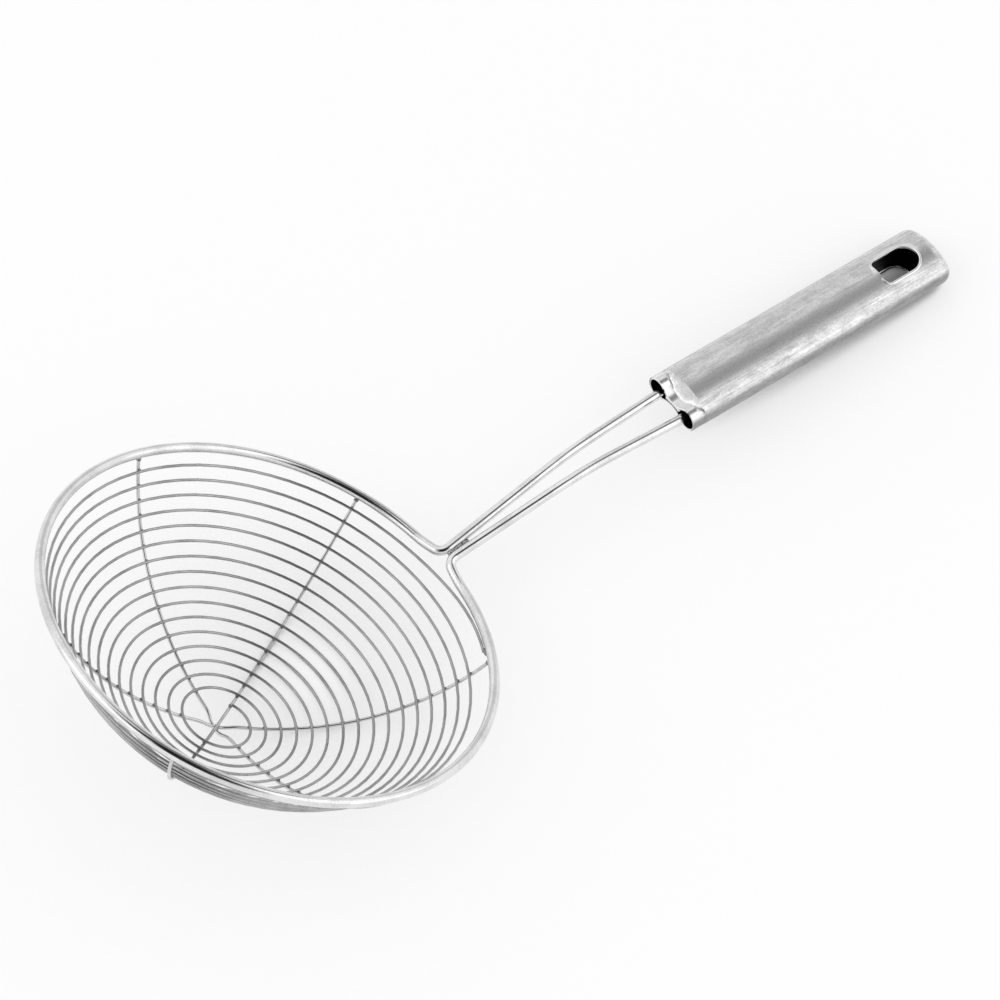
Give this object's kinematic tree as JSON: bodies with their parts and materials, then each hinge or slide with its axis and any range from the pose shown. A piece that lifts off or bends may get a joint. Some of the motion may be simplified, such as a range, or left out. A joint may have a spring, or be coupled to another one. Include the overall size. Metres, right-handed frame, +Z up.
{
  "type": "spider skimmer",
  "caption": "Spider skimmer with a shallow bowl wound from thin wire on crossing ribs, a thick wire rim whose ends form a forked neck, and a hollow handle with a hanging slot.",
  "frame": {"origin": "on the table under the middle of the bounding box, as the skimmer lies on its bowl and on the tip of its handle", "axes": "+X from the bowl towards the handle's tip, in the plane that halves the skimmer; +Z up from the table; +Y completes the right-handed frame"},
  "size_m": [0.3562, 0.1594, 0.0916],
  "materials": {
    "polished_wire": "polished",
    "satin_handle": "satin"
  },
  "bodies": {
    "root": {"rim_and_neck": "polished_wire", "spiral_wire": "polished_wire", "rib_right": "polished_wire", "rib_left": "polished_wire", "rib_across": "polished_wire", "handle": "satin_handle"}
  },
  "joints": []
}
